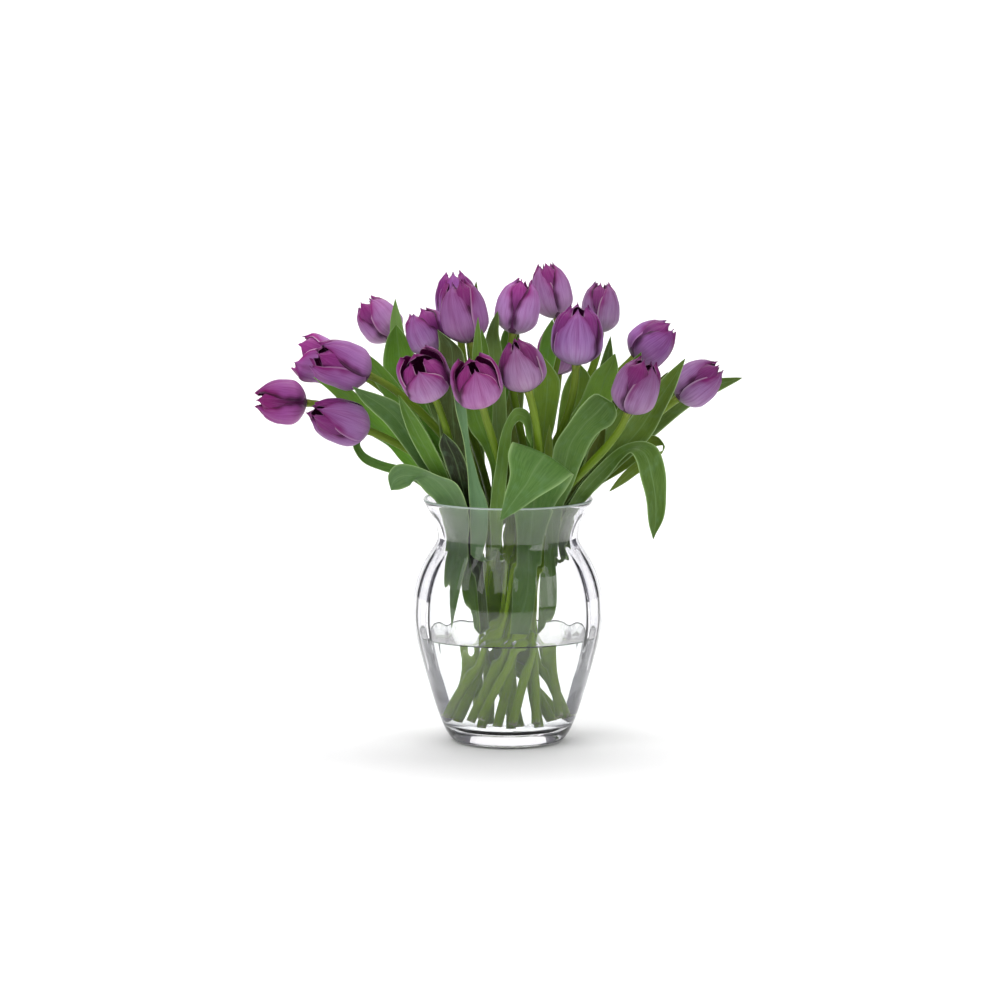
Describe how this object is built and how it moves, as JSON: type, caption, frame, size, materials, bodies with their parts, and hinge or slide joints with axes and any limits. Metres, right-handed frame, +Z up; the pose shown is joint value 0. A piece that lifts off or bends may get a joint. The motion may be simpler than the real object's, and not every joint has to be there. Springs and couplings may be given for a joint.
{
  "type": "tulips in a vase",
  "caption": "Purple cut tulips with their leaves, standing loosely in a flared clear glass vase that is partly filled with water.",
  "frame": {"origin": "middle of the vase's underside, on the table", "axes": "+Z up along the vase's axis; +X to the right and -Y towards the viewer who faces the bunch"},
  "size_m": [0.4875, 0.2711, 0.476],
  "materials": {
    "vase_glass": "polished",
    "water": "polished",
    "tulip_stem": "satin",
    "tulip_leaf": "satin",
    "tulip_petal": "satin"
  },
  "bodies": {
    "root": {"vase": "vase_glass", "water": "water", "stem_01": "tulip_stem", "stem_02": "tulip_stem", "stem_03": "tulip_stem", "stem_04": "tulip_stem", "stem_05": "tulip_stem", "stem_06": "tulip_stem", "stem_07": "tulip_stem", "stem_08": "tulip_stem", "stem_09": "tulip_stem", "stem_10": "tulip_stem", "stem_11": "tulip_stem", "stem_12": "tulip_stem", "stem_13": "tulip_stem", "stem_14": "tulip_stem", "stem_15": "tulip_stem", "stem_16": "tulip_stem", "stem_17": "tulip_stem", "stem_18": "tulip_stem", "stem_19": "tulip_stem", "bloom_01": "tulip_petal", "bloom_02": "tulip_petal", "bloom_03": "tulip_petal", "bloom_04": "tulip_petal", "bloom_05": "tulip_petal", "bloom_06": "tulip_petal", "bloom_07": "tulip_petal", "bloom_08": "tulip_petal", "bloom_09": "tulip_petal", "bloom_10": "tulip_petal", "bloom_11": "tulip_petal", "bloom_12": "tulip_petal", "bloom_13": "tulip_petal", "bloom_14": "tulip_petal", "bloom_15": "tulip_petal", "bloom_16": "tulip_petal", "bloom_17": "tulip_petal", "bloom_18": "tulip_petal", "bloom_19": "tulip_petal", "leaves_right_far": "tulip_leaf", "leaves_right_middle": "tulip_leaf", "leaves_inner_right": "tulip_leaf", "leaves_inner_right_tall": "tulip_leaf", "leaves_right_front": "tulip_leaf", "leaves_right_drooping": "tulip_leaf", "leaves_arching": "tulip_leaf", "leaf_front_folded": "tulip_leaf", "leaves_front_blue": "tulip_leaf", "leaf_left_low": "tulip_leaf", "leaves_left_loop": "tulip_leaf", "leaves_left_front": "tulip_leaf", "leaves_left_upper": "tulip_leaf", "leaves_left_broad": "tulip_leaf", "leaf_inner_left": "tulip_leaf", "leaves_centre_tips": "tulip_leaf", "leaves_back_tips": "tulip_leaf", "leaves_back": "tulip_leaf", "leaf_back_inner": "tulip_leaf", "leaves_centre": "tulip_leaf"}
  },
  "joints": []
}
